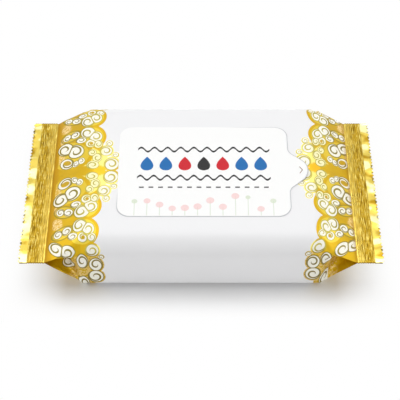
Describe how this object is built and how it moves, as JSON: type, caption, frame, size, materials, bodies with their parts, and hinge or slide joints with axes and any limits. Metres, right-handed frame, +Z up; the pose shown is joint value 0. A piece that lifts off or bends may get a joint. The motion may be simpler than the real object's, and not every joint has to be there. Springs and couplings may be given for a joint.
{
  "type": "wet wipes pack",
  "caption": "Sealed flow-wrap pack of folded wet wipes with gold scroll print at both ends, crimped end seals and a reclosable lift label on top.",
  "frame": {"origin": "under the middle of the pack, on the surface that it lies on", "axes": "+X along the pack towards the end that the lift tab points to, +Y towards the back, +Z up out of the labelled face"},
  "size_m": [0.15, 0.083, 0.0277],
  "materials": {
    "film": "satin printed film",
    "label_film": "glossy label film"
  },
  "bodies": {
    "root": {"film_pack": "film", "closure_label": "label_film"}
  },
  "joints": []
}
